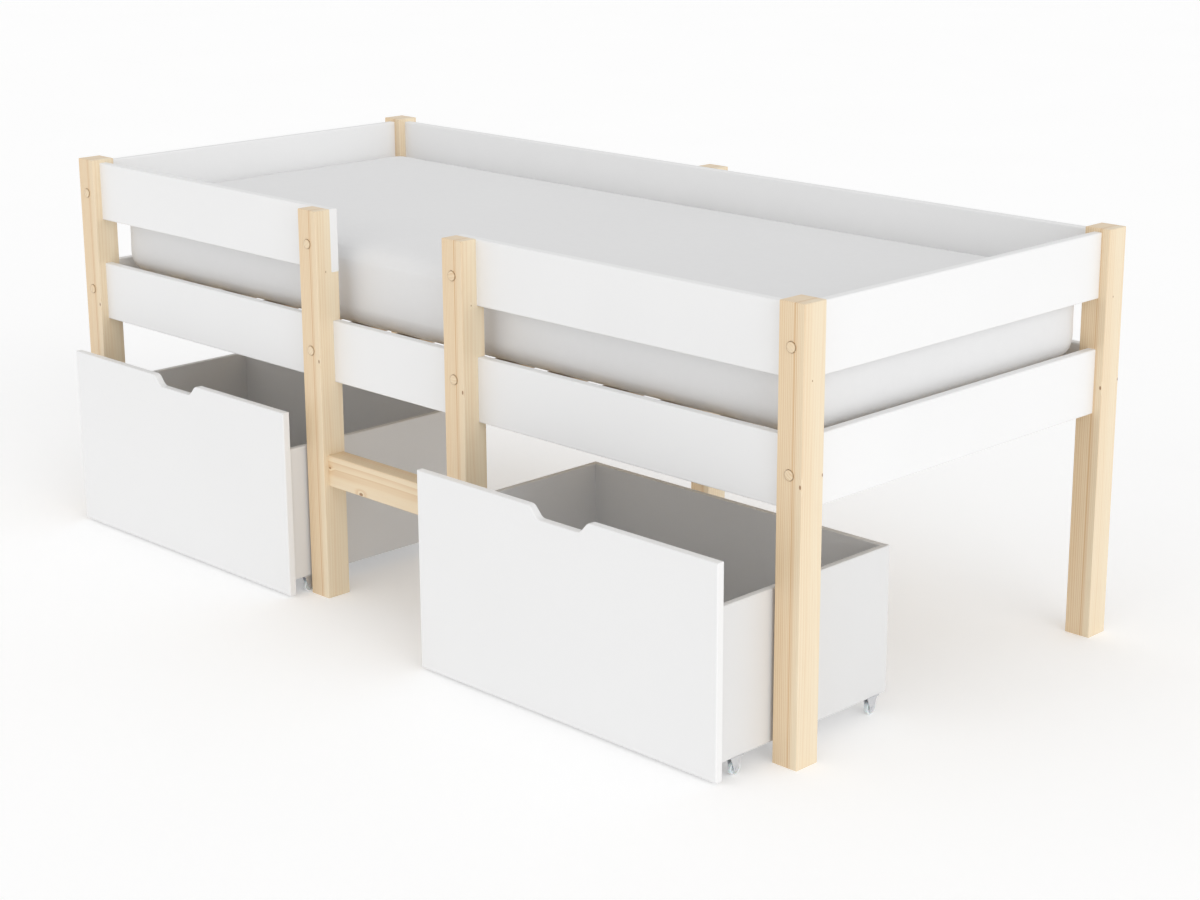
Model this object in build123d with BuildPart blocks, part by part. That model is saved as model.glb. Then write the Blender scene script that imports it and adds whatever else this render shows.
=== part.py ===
"""A child's low cabin bed of pine posts and white rails, with two drawers on castors below it.

Millimetres. +X is right along the bed, +Y is back, +Z is up. The origin is on the floor, in the
middle of the whole bed with its drawers drawn out as they stand.
"""

import os
from math import sqrt

from build123d import *

os.makedirs("parts", exist_ok=True)

# Mattress, and the room that the frame leaves round it
mattress_length = 1996
mattress_width = 822
mattress_thickness = 186
mattress_crown = 7
mattress_end_crown = 0.3
mattress_edge_radius = 40
mattress_corner_radius = 46
mattress_corner_steps = 4
mattress_side_pull = 4
mattress_end_room = 6
mattress_back_room = 5
mattress_front_room = 21
soft_clearance = 0.3

# Posts
post_size = 54
corner_post_height = 800
rail_to_post_top = 7
post_edge = 2
entry_gap = 372

# Rails
rail_thickness = 18
rail_height = 125
rail_edge = 2.5
guard_gap = 97
stretcher_height = 64
stretcher_thickness = 40
stretcher_bottom = 236
stretcher_setback = 11

# Slatted base
slat_count = 14
slat_width = 70
slat_thickness = 15
slat_end_room = 4
slat_first_room = 30
slat_below_rail_top = 28
batten_size = 30
batten_end_room = 6
strap_width = 25
strap_thickness = 1.2
strap_gap = 475

# Frame fixings
bolt_diameter = 6
bolt_head_diameter = 14
bolt_head_height = 4
bolt_recess = 9
cap_diameter = 20
cap_seat = 4
cap_proud = 2.5
guard_bolt_rise = 58
side_bolt_rise = 66
right_middle_bolt_rise = 84
nut_diameter = 10
nut_length = 14
nut_from_end = 30
insert_diameter = 10
insert_length = 13
insert_flange_diameter = 14
insert_flange_thickness = 2
cam_diameter = 15
cam_depth = 12
cam_from_end = 24
cam_spacing = 64
cam_pin_diameter = 6
cam_pin_in_post = 11
dowel_diameter = 8
dowel_length = 30
dowel_spacing = 80
batten_screw_count = 6
screw_diameter = 4
screw_head_diameter = 8
screw_head_height = 2.5
batten_screw_length = 42
slat_screw_length = 35

# Drawers
drawer_gap = 2
drawer_front_bottom = 5
drawer_front_height = 383
drawer_front_thickness = 15
drawer_front_edge = 2
drawer_box_inset = 5
drawer_box_bottom = 35
drawer_box_height = 274
drawer_box_length = 437
drawer_wall = 12
drawer_floor = 12
drawer_edge = 1
left_drawer_out = 72
right_drawer_out = 138
notch_top_width = 144
notch_floor_width = 104
notch_depth = 22
notch_radius = 16
box_dowel_diameter = 6
box_dowel_length = 30
box_dowel_in_front = 10
box_dowel_in_side = 8
box_dowel_spacing = 82
floor_dowel_spacing = 85

# Castors
wheel_diameter = 25
wheel_width = 8
wheel_side_play = 0.5
wheel_dish = 1.2
castor_inset = 7
castor_from_front = 57
castor_from_back = 35
axle_diameter = 3
axle_head_diameter = 5
axle_head_height = 1
bracket_length = 32
bracket_width = 18
bracket_sheet = 1.5
bracket_cheek_top = 26
bracket_cheek_radius = 6
bracket_screw_spacing = 24
bracket_screw_diameter = 3
bracket_screw_length = 16
bracket_screw_head_diameter = 5.5
bracket_screw_head_height = 1.2

# Fits
hole_clearance = 0.1
bolt_hole_clearance = 0.6

# Frame, worked out from the mattress and the posts
rail_inset = (post_size - rail_thickness) / 2
inner_length = mattress_length + 2 * mattress_end_room
inner_width = mattress_width + mattress_back_room + mattress_front_room
half_length = inner_length / 2 + rail_thickness + rail_inset
half_width = inner_width / 2 + rail_thickness + rail_inset
post_inner_x = half_length - post_size
post_inner_y = half_width - post_size
middle_post_height = corner_post_height - rail_to_post_top
guard_rail_bottom = middle_post_height - rail_height
side_rail_top = guard_rail_bottom - guard_gap
side_rail_bottom = side_rail_top - rail_height
middle_post_x = (entry_gap + post_size) / 2
middle_post_outer_x = entry_gap / 2 + post_size

# The bed's middle line lies behind the origin, because the drawers stand out in front
bay_width = post_inner_x - middle_post_outer_x
front_reach = half_width + max(left_drawer_out, right_drawer_out)
back_reach = inner_width / 2 + post_size + cap_proud
middle_y = (front_reach - back_reach) / 2
front_y = middle_y - half_width
inner_back_y = middle_y + inner_width / 2
rail_y = inner_width / 2 + rail_thickness / 2
end_rail_x = inner_length / 2 + rail_thickness / 2
middle_post_y = inner_width / 2 + post_size / 2
stretcher_y = middle_y - inner_width / 2 - post_size + stretcher_setback + stretcher_thickness / 2

# Heights of the bolts
guard_bolt_z = guard_rail_bottom + guard_bolt_rise
side_bolt_z = side_rail_bottom + side_bolt_rise
right_middle_bolt_z = side_rail_bottom + right_middle_bolt_rise
stretcher_z = stretcher_bottom + stretcher_height / 2
rail_middles = (side_rail_bottom + rail_height / 2, guard_rail_bottom + rail_height / 2)

# Slatted base
slat_top = side_rail_top - slat_below_rail_top
slat_bottom = slat_top - slat_thickness
batten_y = inner_width / 2 - batten_size / 2
batten_z = slat_bottom - batten_size / 2
batten_length = 2 * (post_inner_x - batten_end_room)
slat_span = inner_length - 2 * slat_first_room - slat_width
slat_pitch = slat_span / (slat_count - 1)
slat_length = inner_width - 2 * slat_end_room

bottom_up = (Align.CENTER, Align.CENTER, Align.MIN)


def save(piece, name):
    """Name a finished piece and write it as its own file."""
    piece.label = name
    export_step(piece, f"parts/{name}.step")


def along(start, direction):
    """A plane at start whose normal, and so a hole's or a pin's length, runs along direction."""
    return Plane(origin=start, z_dir=direction)


def drill(start, direction, diameter, depth):
    """Cut a round hole from start into the part being built."""
    with Locations(along(start, direction)):
        Cylinder(diameter / 2, depth, align=bottom_up, mode=Mode.SUBTRACT)


def pin(start, direction, diameter, length):
    """Add a round pin from start to the part being built."""
    with Locations(along(start, direction)):
        Cylinder(diameter / 2, length, align=bottom_up)


def step_in(start, direction, distance):
    """The point at a distance from start along direction."""
    return tuple(a + distance * b for a, b in zip(start, direction))


# Every cap, bolt and nut of the frame starts at a point on a post's face and runs inwards
inwards = {-1: (0, 1, 0), 1: (0, -1, 0)}
end_rail_bolts = [
    ((side * end_rail_x, middle_y + back * half_width, z), inwards[back])
    for side in (-1, 1)
    for back in (-1, 1)
    for z in (side_bolt_z, guard_bolt_z)
]
middle_face_y = inner_width / 2 + post_size
front_middle_bolts = [
    ((-middle_post_x, middle_y - middle_face_y, side_bolt_z), inwards[-1]),
    ((-middle_post_x, middle_y - middle_face_y, guard_bolt_z), inwards[-1]),
    ((middle_post_x, middle_y - middle_face_y, right_middle_bolt_z), inwards[-1]),
    ((middle_post_x, middle_y - middle_face_y, guard_bolt_z), inwards[-1]),
]
back_middle_bolts = [
    ((0, middle_y + middle_face_y, side_bolt_z), inwards[1]),
    ((-post_size / 4, middle_y + middle_face_y, guard_bolt_z), inwards[1]),
    ((post_size / 4, middle_y + middle_face_y, guard_bolt_z), inwards[1]),
]
stretcher_bolts = [
    ((side * middle_post_outer_x, stretcher_y, stretcher_z), (-side, 0, 0)) for side in (-1, 1)
]
barrel_nut_bolts = end_rail_bolts + stretcher_bolts
insert_bolts = front_middle_bolts + back_middle_bolts
all_bolts = barrel_nut_bolts + insert_bolts
barrel_bolt_length = post_size - bolt_recess + nut_from_end + nut_diameter / 2 + cap_proud
rail_seat = post_size - rail_thickness
insert_bolt_length = rail_seat - bolt_recess + insert_length - soft_clearance

# Cam fittings and dowels sit where a rail's end meets a corner post or the stretcher a middle post
side_rail_ends = [
    ((side * post_inner_x, middle_y + back * rail_y, z), (-side, 0, 0))
    for side in (-1, 1)
    for back in (-1, 1)
    for z in rail_middles
]
end_rail_ends = [
    ((side * end_rail_x, middle_y + back * post_inner_y, z), inwards[back])
    for side in (-1, 1)
    for back in (-1, 1)
    for z in rail_middles
]
stretcher_ends = [
    ((side * entry_gap / 2, stretcher_y, stretcher_z), (-side, 0, 0)) for side in (-1, 1)
]


def raised(start, height):
    """The point at a height above start."""
    return start[0], start[1], start[2] + height


cam_pins_at = [
    (raised(start, rise), direction)
    for start, direction in side_rail_ends
    for rise in (-cam_spacing / 2, cam_spacing / 2)
]
stretcher_dowel_rise = stretcher_height / 2 - dowel_diameter - cap_seat
dowels_at = side_rail_ends + [
    (raised(start, rise), direction)
    for start, direction in end_rail_ends
    for rise in (-dowel_spacing / 2, dowel_spacing / 2)
]
dowels_at += [
    (raised(start, rise), direction)
    for start, direction in stretcher_ends
    for rise in (-stretcher_dowel_rise, stretcher_dowel_rise)
]


def drill_bolts(bolts):
    """The recess for the cap and head, and the bolt's own hole, from each bolt's outer face."""
    for start, direction in bolts:
        drill(start, direction, cap_diameter + hole_clearance, bolt_recess)
        drill(start, direction, bolt_diameter + bolt_hole_clearance, barrel_bolt_length + post_size)


def drill_dowels(dowels, diameter=dowel_diameter, length=dowel_length):
    """Holes that take half of each dowel on either side of a joint."""
    for start, direction in dowels:
        back_start = step_in(start, direction, -length / 2 - hole_clearance)
        drill(back_start, direction, diameter + hole_clearance, length + 2 * hole_clearance)


def drill_cam_pins(places):
    """Holes for the cam pins, in the post and in the rail's end."""
    for start, direction in places:
        back_start = step_in(start, direction, -cam_pin_in_post - hole_clearance)
        depth = cam_pin_in_post + cam_from_end + hole_clearance
        drill(back_start, direction, cam_pin_diameter + hole_clearance, depth)


def nearby(places, low, high):
    """The fixings whose start lies within the box from low to high."""
    return [
        place
        for place in places
        if all(a - cap_proud <= b <= c + cap_proud for a, b, c in zip(low, place[0], high))
    ]


def cut_fixings(low, high):
    """Drill every fixing that starts on or in the box from low to high into the part being built."""
    drill_bolts(nearby(all_bolts, low, high))
    drill_dowels(nearby(dowels_at, low, high))
    drill_cam_pins(nearby(cam_pins_at, low, high))


def post(name, x, y, height, rebate_side=0):
    """A square post with eased edges. A middle post is cut back on one side to let the rails pass."""
    half = post_size / 2
    with BuildPart() as timber:
        with BuildSketch():
            with Locations((x, y)):
                Rectangle(post_size, post_size)
        extrude(amount=height)
        eased = timber.edges().filter_by(Axis.Z) + timber.faces().sort_by(Axis.Z)[-1].edges()
        chamfer(eased, post_edge / 2)
        if rebate_side:
            rail_face = y - rebate_side * (half - rail_thickness / 2)
            for bottom in (side_rail_bottom, guard_rail_bottom):
                with BuildSketch(Plane.XY.offset(bottom)):
                    with Locations((x, rail_face)):
                        Rectangle(post_size, rail_thickness)
                extrude(amount=rail_height, mode=Mode.SUBTRACT)
        cut_fixings((x - half, y - half, 0), (x + half, y + half, height))
    save(timber.part, name)


for side, side_name in ((-1, "left"), (1, "right")):
    corner_x = side * (half_length - post_size / 2)
    for back, back_name in ((-1, "front"), (1, "back")):
        corner_y = middle_y + back * (half_width - post_size / 2)
        post(f"post_{back_name}_{side_name}", corner_x, corner_y, corner_post_height)
    post(
        f"post_middle_{side_name}",
        side * middle_post_x,
        middle_y - middle_post_y,
        middle_post_height,
        rebate_side=-1,
    )
post("post_back_middle", 0, middle_y + middle_post_y, middle_post_height, rebate_side=1)


def cam_face(start, direction):
    """Where a cam's round pocket starts, on the face of the rail that looks to the back of the bed."""
    x, y, z = step_in(start, direction, cam_from_end)
    return x, y + rail_thickness / 2, z


def barrel_nut_place(start, direction):
    """The middle of the nut of a bolt that starts at start, the way in to it and how deep it lies.

    The stretcher takes its nuts from its back face, and the end rails take theirs from below.
    """
    centre = step_in(start, direction, post_size + nut_from_end)
    if direction[0]:
        return centre, (0, -1, 0), stretcher_thickness / 2
    rail_bottom = side_rail_bottom if centre[2] < guard_rail_bottom else guard_rail_bottom
    return centre, (0, 0, 1), centre[2] - rail_bottom


def cut_barrel_nut(start, direction):
    """Drill the nut's cross hole from a face that doesn't show."""
    centre, way_in, depth = barrel_nut_place(start, direction)
    entry = step_in(centre, way_in, -depth)
    drill(entry, way_in, nut_diameter + hole_clearance, depth + nut_length / 2)


def cut_insert(start, direction):
    """Drill the blind hole for a threaded insert, and its flange's seat, where the rail meets the post."""
    outer_face = step_in(start, direction, rail_seat)
    flange_hole = insert_flange_diameter + hole_clearance
    drill(outer_face, direction, insert_diameter + hole_clearance, insert_length + hole_clearance)
    drill(outer_face, direction, flange_hole, insert_flange_thickness)


def batten_screw_xs():
    """Where the screws stand along a batten."""
    pitch = batten_length / batten_screw_count
    return [(index + 0.5) * pitch - batten_length / 2 for index in range(batten_screw_count)]


def side_rail(name, left_x, right_x, back, bottom):
    """A white board along the bed, from left_x to right_x, with every fixing that it takes."""
    y = middle_y + back * rail_y
    low = (left_x, y - rail_thickness / 2, bottom)
    high = (right_x, y + rail_thickness / 2, bottom + rail_height)
    with BuildPart() as board:
        with BuildSketch(Plane.YZ.offset(left_x)):
            with Locations((y, bottom + rail_height / 2)):
                Rectangle(rail_thickness, rail_height)
        extrude(amount=right_x - left_x)
        fillet(board.edges().filter_by(Axis.X), rail_edge)
        for start, direction in insert_bolts:
            if nearby([(step_in(start, direction, rail_seat), direction)], low, high):
                cut_insert(start, direction)
        cam_pins_here = nearby(cam_pins_at, low, high)
        for start, direction in cam_pins_here:
            pocket = cam_face(start, direction)
            drill(pocket, (0, -1, 0), cam_diameter + hole_clearance, cam_depth + hole_clearance)
        drill_cam_pins(cam_pins_here)
        drill_dowels(nearby(dowels_at, low, high))
        if bottom == side_rail_bottom:
            for x in batten_screw_xs():
                hole_start = (x, middle_y + back * (inner_width / 2 - batten_size), batten_z)
                drill(hole_start, (0, back, 0), screw_diameter + hole_clearance, batten_screw_length)
    save(board.part, name)


def end_rail(name, side, bottom):
    """A white board across one end of the bed, between the faces of its corner posts."""
    x = side * end_rail_x
    low = (x - rail_thickness / 2, middle_y - post_inner_y, bottom)
    high = (x + rail_thickness / 2, middle_y + post_inner_y, bottom + rail_height)
    with BuildPart() as board:
        with BuildSketch(Plane.XZ.offset(post_inner_y - middle_y)):
            with Locations((x, bottom + rail_height / 2)):
                Rectangle(rail_thickness, rail_height)
        extrude(amount=-2 * post_inner_y)
        fillet(board.edges().filter_by(Axis.Y), rail_edge)
        for start, direction in end_rail_bolts:
            if nearby([(step_in(start, direction, post_size), direction)], low, high):
                hole_length = post_size + nut_from_end + nut_diameter
                drill(start, direction, bolt_diameter + bolt_hole_clearance, hole_length)
                cut_barrel_nut(start, direction)
        drill_dowels(nearby(dowels_at, low, high))
    save(board.part, name)


side_rail("side_rail_front", -post_inner_x, post_inner_x, -1, side_rail_bottom)
side_rail("side_rail_back", -post_inner_x, post_inner_x, 1, side_rail_bottom)
side_rail("guard_rail_front_left", -post_inner_x, -entry_gap / 2, -1, guard_rail_bottom)
side_rail("guard_rail_front_right", entry_gap / 2, post_inner_x, -1, guard_rail_bottom)
side_rail("guard_rail_back_left", -post_inner_x, 0, 1, guard_rail_bottom)
side_rail("guard_rail_back_right", 0, post_inner_x, 1, guard_rail_bottom)
for side, side_name in ((-1, "left"), (1, "right")):
    end_rail(f"end_rail_{side_name}", side, side_rail_bottom)
    end_rail(f"guard_rail_{side_name}_end", side, guard_rail_bottom)

# Pine step rail between the middle posts
with BuildPart() as stretcher:
    with BuildSketch(Plane.YZ.offset(-entry_gap / 2)):
        with Locations((stretcher_y, stretcher_z)):
            Rectangle(stretcher_thickness, stretcher_height)
    extrude(amount=entry_gap)
    fillet(stretcher.edges().filter_by(Axis.X), post_edge)
    for start, direction in stretcher_bolts:
        hole_length = post_size + nut_from_end + nut_diameter
        drill(start, direction, bolt_diameter + bolt_hole_clearance, hole_length)
        cut_barrel_nut(start, direction)
    drill_dowels([place for place in dowels_at if place[0][2] < side_rail_bottom])
save(stretcher.part, "foot_stretcher")

# Round pine caps that close the recesses over the bolt heads, flush where a drawer passes them
capped_bolts = [(start, direction, cap_proud) for start, direction in end_rail_bolts + insert_bolts]
capped_bolts += [(start, direction, 0) for start, direction in stretcher_bolts]
with BuildPart() as caps:
    for start, direction, proud in capped_bolts:
        with BuildSketch(along(step_in(start, direction, cap_seat), tuple(-a for a in direction))):
            Circle(cap_diameter / 2)
        extrude(amount=cap_seat + proud)
    round_rims = caps.edges().filter_by(GeomType.CIRCLE)
    rims = []
    for start, direction, proud in capped_bolts:
        outer = Vector(*step_in(start, direction, -proud))
        rims += [edge for edge in round_rims if (edge.arc_center - outer).length < hole_clearance]
    chamfer(rims, cap_proud / 3)
save(caps.part, "cover_caps")

# Steel bolts, head at the bottom of each recess
with BuildPart() as bolts:
    for start, direction in all_bolts:
        has_barrel_nut = (start, direction) in barrel_nut_bolts
        seat = step_in(start, direction, bolt_recess)
        head_top = step_in(seat, direction, -bolt_head_height)
        pin(head_top, direction, bolt_head_diameter, bolt_head_height)
        pin(seat, direction, bolt_diameter, barrel_bolt_length if has_barrel_nut else insert_bolt_length)
save(bolts.part, "frame_bolts")

# Cross dowels that the bolts screw into inside the end rails and the stretcher
with BuildPart() as barrel_nuts:
    for start, direction in barrel_nut_bolts:
        centre, way_in, depth = barrel_nut_place(start, direction)
        pin(step_in(centre, way_in, -nut_length / 2), way_in, nut_diameter, nut_length)
    for start, direction in barrel_nut_bolts:
        drill(start, direction, bolt_diameter + hole_clearance, post_size + 2 * nut_from_end)
save(barrel_nuts.part, "barrel_nuts")

# Flanged threaded inserts let into the rails' outer faces, where they meet the middle posts
with BuildPart() as inserts:
    for start, direction in insert_bolts:
        outer_face = step_in(start, direction, rail_seat)
        pin(outer_face, direction, insert_diameter, insert_length)
        pin(outer_face, direction, insert_flange_diameter, insert_flange_thickness)
    for start, direction in insert_bolts:
        drill(start, direction, bolt_diameter + hole_clearance, rail_seat + insert_length)
save(inserts.part, "threaded_inserts")

# Cam fittings that draw the side rails on to the corner posts, turned from the back of the bed
with BuildPart() as cam_pins:
    for start, direction in cam_pins_at:
        pin_length = cam_pin_in_post + cam_from_end - cam_diameter / 2
        pin(step_in(start, direction, -cam_pin_in_post), direction, cam_pin_diameter, pin_length)
save(cam_pins.part, "cam_pins")

with BuildPart() as cam_locks:
    for start, direction in cam_pins_at:
        pin(cam_face(start, direction), (0, -1, 0), cam_diameter, cam_depth)
save(cam_locks.part, "cam_locks")

# Beech dowels beside the bolts and cams
with BuildPart() as dowels:
    for start, direction in dowels_at:
        pin(step_in(start, direction, -dowel_length / 2), direction, dowel_diameter, dowel_length)
save(dowels.part, "rail_dowels")

# Pine ledges along the side rails, which carry the slats
slat_screw_x = slat_span / 2
slat_screws_at = [
    (side * slat_screw_x, middle_y + back * batten_y) for side in (-1, 1) for back in (-1, 1)
]
batten_screws_at = [(x, back) for back in (-1, 1) for x in batten_screw_xs()]
for back, back_name in ((-1, "front"), (1, "back")):
    with BuildPart() as batten:
        with BuildSketch(Plane.YZ.offset(-batten_length / 2)):
            with Locations((middle_y + back * batten_y, batten_z)):
                Rectangle(batten_size, batten_size)
        extrude(amount=batten_length)
        for x, screw_back in batten_screws_at:
            if screw_back == back:
                face = (x, middle_y + back * (inner_width / 2 - batten_size), batten_z)
                drill(face, (0, back, 0), screw_diameter + hole_clearance, batten_size)
                drill(face, (0, back, 0), screw_head_diameter + hole_clearance, screw_head_height)
        for x, y in slat_screws_at:
            drill((x, y, slat_top), (0, 0, -1), screw_diameter + hole_clearance, slat_screw_length)
    save(batten.part, f"slat_batten_{back_name}")

# Pine slats across the bed
with BuildPart() as slats:
    with BuildSketch(Plane.XY.offset(slat_bottom)):
        with Locations((0, middle_y)):
            with GridLocations(slat_pitch, 1, slat_count, 1):
                Rectangle(slat_width, slat_length)
    extrude(amount=slat_thickness)
    for x, y in slat_screws_at:
        drill((x, y, slat_top), (0, 0, -1), screw_diameter + hole_clearance, slat_thickness)
        drill((x, y, slat_top), (0, 0, -1), screw_head_diameter + hole_clearance, screw_head_height)
save(slats.part, "slats")

# Webbing tapes under the slats, which keep them evenly apart
with BuildPart() as straps:
    with BuildSketch(Plane.XY.offset(slat_bottom - strap_thickness)):
        with Locations((0, middle_y)):
            with GridLocations(1, strap_gap + strap_width, 1, 2):
                Rectangle(slat_span + slat_width, strap_width)
    extrude(amount=strap_thickness)
save(straps.part, "slat_straps")

# Screws that hold the battens to the side rails, and the end slats to the battens
with BuildPart() as batten_screws:
    for x, back in batten_screws_at:
        face = (x, middle_y + back * (inner_width / 2 - batten_size), batten_z)
        pin(face, (0, back, 0), screw_head_diameter, screw_head_height)
        pin(face, (0, back, 0), screw_diameter, batten_screw_length - hole_clearance)
save(batten_screws.part, "batten_screws")

with BuildPart() as slat_screws:
    for x, y in slat_screws_at:
        pin((x, y, slat_top), (0, 0, -1), screw_head_diameter, screw_head_height)
        pin((x, y, slat_top), (0, 0, -1), screw_diameter, slat_screw_length - hole_clearance)
save(slat_screws.part, "slat_screws")

# Mattress: crowned on top, its long sides drawn in a little between the rounded corners
mattress_bottom = slat_top + soft_clearance
mattress_top = mattress_bottom + mattress_thickness
mattress_middle_y = inner_back_y - mattress_back_room - mattress_width / 2


def mattress_section(x):
    """One upright cross-section of the mattress, which shrinks as the ends and corners round off."""
    share = 1 - (2 * x / mattress_length) ** 2
    crown = mattress_end_crown + (mattress_crown - mattress_end_crown) * share
    from_end = mattress_length / 2 - abs(x)
    corner_rest = max(mattress_corner_radius - from_end, 0)
    edge_rest = max(mattress_edge_radius - from_end, 0)
    narrower = mattress_corner_radius - sqrt(mattress_corner_radius**2 - corner_rest**2)
    lower = mattress_edge_radius - sqrt(mattress_edge_radius**2 - edge_rest**2)
    half = mattress_width / 2 - mattress_side_pull * share - narrower
    bottom = mattress_bottom + lower
    top = mattress_top - mattress_crown - lower
    radius = mattress_edge_radius - lower / 2
    cut = radius * (1 - sqrt(0.5))
    middle = (bottom + top) / 2
    waist = half - mattress_side_pull / 2
    with BuildSketch(Plane.YZ.offset(x)) as section:
        with BuildLine():
            Line((radius - half, bottom), (half - radius, bottom))
            ThreePointArc((half - radius, bottom), (half - cut, bottom + cut), (half, bottom + radius))
            ThreePointArc((half, bottom + radius), (waist, middle), (half, top - radius))
            ThreePointArc((half, top - radius), (half - cut, top - cut), (half - radius, top))
            ThreePointArc((half - radius, top), (0, top + crown), (radius - half, top))
            ThreePointArc((radius - half, top), (cut - half, top - cut), (-half, top - radius))
            ThreePointArc((-half, top - radius), (-waist, middle), (-half, bottom + radius))
            ThreePointArc((-half, bottom + radius), (cut - half, bottom + cut), (radius - half, bottom))
        make_face()
    return section.sketch


# Sections lie close together in the rounded corners and far apart between them
stations = [
    mattress_length / 2 - mattress_corner_radius * (step / mattress_corner_steps) ** 2
    for step in range(mattress_corner_steps + 1)
]
stations += [mattress_length / 3, mattress_length / 6]
stations += [0] + [-x for x in reversed(stations)]
with BuildPart() as mattress:
    loft([mattress_section(x) for x in stations], ruled=True)
save(mattress.part.moved(Location((0, mattress_middle_y, 0))), "mattress")


def drawer(side_name, left_x, out):
    """One drawer on four castors, its front drawn out from the faces of the corner posts."""
    name = f"drawer_{side_name}"
    front_width = bay_width - 2 * drawer_gap
    front_left = left_x + drawer_gap
    front_middle = front_left + front_width / 2
    front_face = front_y - out
    front_back = front_face + drawer_front_thickness
    box_left = front_left + drawer_box_inset
    box_right = front_left + front_width - drawer_box_inset
    box_back = front_back + drawer_box_length
    back_inner = box_back - drawer_wall
    box_middle_z = drawer_box_bottom + drawer_box_height / 2
    inner_width_of_box = box_right - box_left - 2 * drawer_wall
    side_middles = {-1: box_left + drawer_wall / 2, 1: box_right - drawer_wall / 2}
    dowel_heights = [box_middle_z + step * box_dowel_spacing for step in (-1, 0, 1)]
    floor_z = drawer_box_bottom + drawer_floor / 2
    floor_length = back_inner - front_back
    floor_middle_y = (front_back + back_inner) / 2
    floor_dowel_ys = [floor_middle_y + step * floor_dowel_spacing for step in (-1, 0, 1)]
    wheel_ys = (front_face + castor_from_front, box_back - castor_from_back)
    wheel_xs = {-1: box_left + castor_inset, 1: box_right - castor_inset}
    front_dowels = [
        ((x, front_back - box_dowel_in_front, z), (0, 1, 0))
        for x in side_middles.values()
        for z in dowel_heights
    ]
    back_dowel_places = [(box_back - drawer_wall / 2, z) for z in dowel_heights]
    floor_dowel_places = [(y, floor_z) for y in floor_dowel_ys]
    cross_dowels = [
        ((side_x + side * (box_dowel_in_side - drawer_wall / 2), y, z), (-side, 0, 0))
        for side, side_x in side_middles.items()
        for y, z in back_dowel_places + floor_dowel_places
    ]
    box_dowels = front_dowels + cross_dowels

    def drill_box_dowels(dowels):
        """Holes a hair wider and longer than the box's own dowels."""
        for start, direction in dowels:
            hole_start = step_in(start, direction, -hole_clearance)
            length = box_dowel_length + 2 * hole_clearance
            drill(hole_start, direction, box_dowel_diameter + hole_clearance, length)

    # Overlay front, with the hand notch in its top edge
    with BuildPart() as front:
        front_top = drawer_front_bottom + drawer_front_height
        with BuildSketch(Plane.XZ.offset(-front_face)):
            with BuildLine():
                Polyline(
                    (front_left, drawer_front_bottom),
                    (front_left + front_width, drawer_front_bottom),
                    (front_left + front_width, front_top),
                    (front_middle + notch_top_width / 2, front_top),
                    (front_middle + notch_floor_width / 2, front_top - notch_depth),
                    (front_middle - notch_floor_width / 2, front_top - notch_depth),
                    (front_middle - notch_top_width / 2, front_top),
                    (front_left, front_top),
                    close=True,
                )
            outline = make_face()
            notch_reach = notch_top_width / 2 + hole_clearance
            corners = outline.vertices().filter_by_position(
                Axis.X, front_middle - notch_reach, front_middle + notch_reach
            )
            fillet(corners, notch_radius)
        extrude(amount=-drawer_front_thickness)
        face_edges = front.faces().sort_by(Axis.Y)[0].outer_wire().edges()
        rear_edges = front.faces().sort_by(Axis.Y)[-1].outer_wire().edges()
        fillet(face_edges, drawer_front_edge)
        chamfer(rear_edges, drawer_edge / 2)
        drill_box_dowels(front_dowels)
    save(front.part, f"{name}_front")

    # Box sides, from the front's back face to the drawer's back
    for side, side_word in ((-1, "left"), (1, "right")):
        with BuildPart() as board:
            with BuildSketch(Plane.XZ.offset(-front_back)):
                with Locations((side_middles[side], box_middle_z)):
                    Rectangle(drawer_wall, drawer_box_height)
            extrude(amount=-drawer_box_length)
            chamfer(board.edges().filter_by(Axis.Y).group_by(Axis.Z)[-1], drawer_edge)
            drill_box_dowels(
                [place for place in box_dowels if abs(place[0][0] - side_middles[side]) < drawer_wall]
            )
            for y in wheel_ys:
                for shift in (-bracket_screw_spacing / 2, bracket_screw_spacing / 2):
                    start = (wheel_xs[side], y + shift, drawer_box_bottom)
                    drill(start, (0, 0, 1), bracket_screw_diameter + hole_clearance, bracket_screw_length)
        save(board.part, f"{name}_side_{side_word}")

    # Back and floor, between the sides
    with BuildPart() as back:
        with BuildSketch(Plane.XY.offset(drawer_box_bottom)):
            with Locations(((box_left + box_right) / 2, box_back - drawer_wall / 2)):
                Rectangle(inner_width_of_box, drawer_wall)
        extrude(amount=drawer_box_height)
        chamfer(back.edges().filter_by(Axis.X).group_by(Axis.Z)[-1], drawer_edge)
        drill_box_dowels([place for place in cross_dowels if place[0][1] > back_inner])
    save(back.part, f"{name}_back")

    with BuildPart() as floor:
        with BuildSketch(Plane.XY.offset(drawer_box_bottom)):
            with Locations(((box_left + box_right) / 2, floor_middle_y)):
                Rectangle(inner_width_of_box, floor_length)
        extrude(amount=drawer_floor)
        drill_box_dowels([place for place in cross_dowels if place[0][1] < back_inner])
    save(floor.part, f"{name}_floor")

    with BuildPart() as dowels:
        for start, direction in box_dowels:
            pin(start, direction, box_dowel_diameter, box_dowel_length)
    save(dowels.part, f"{name}_dowels")

    castors_at = [(wheel_xs[side], y) for side in (-1, 1) for y in wheel_ys]
    half_gap = wheel_width / 2 + wheel_side_play
    axle_z = wheel_diameter / 2
    plate_bottom = drawer_box_bottom - bracket_sheet

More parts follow.
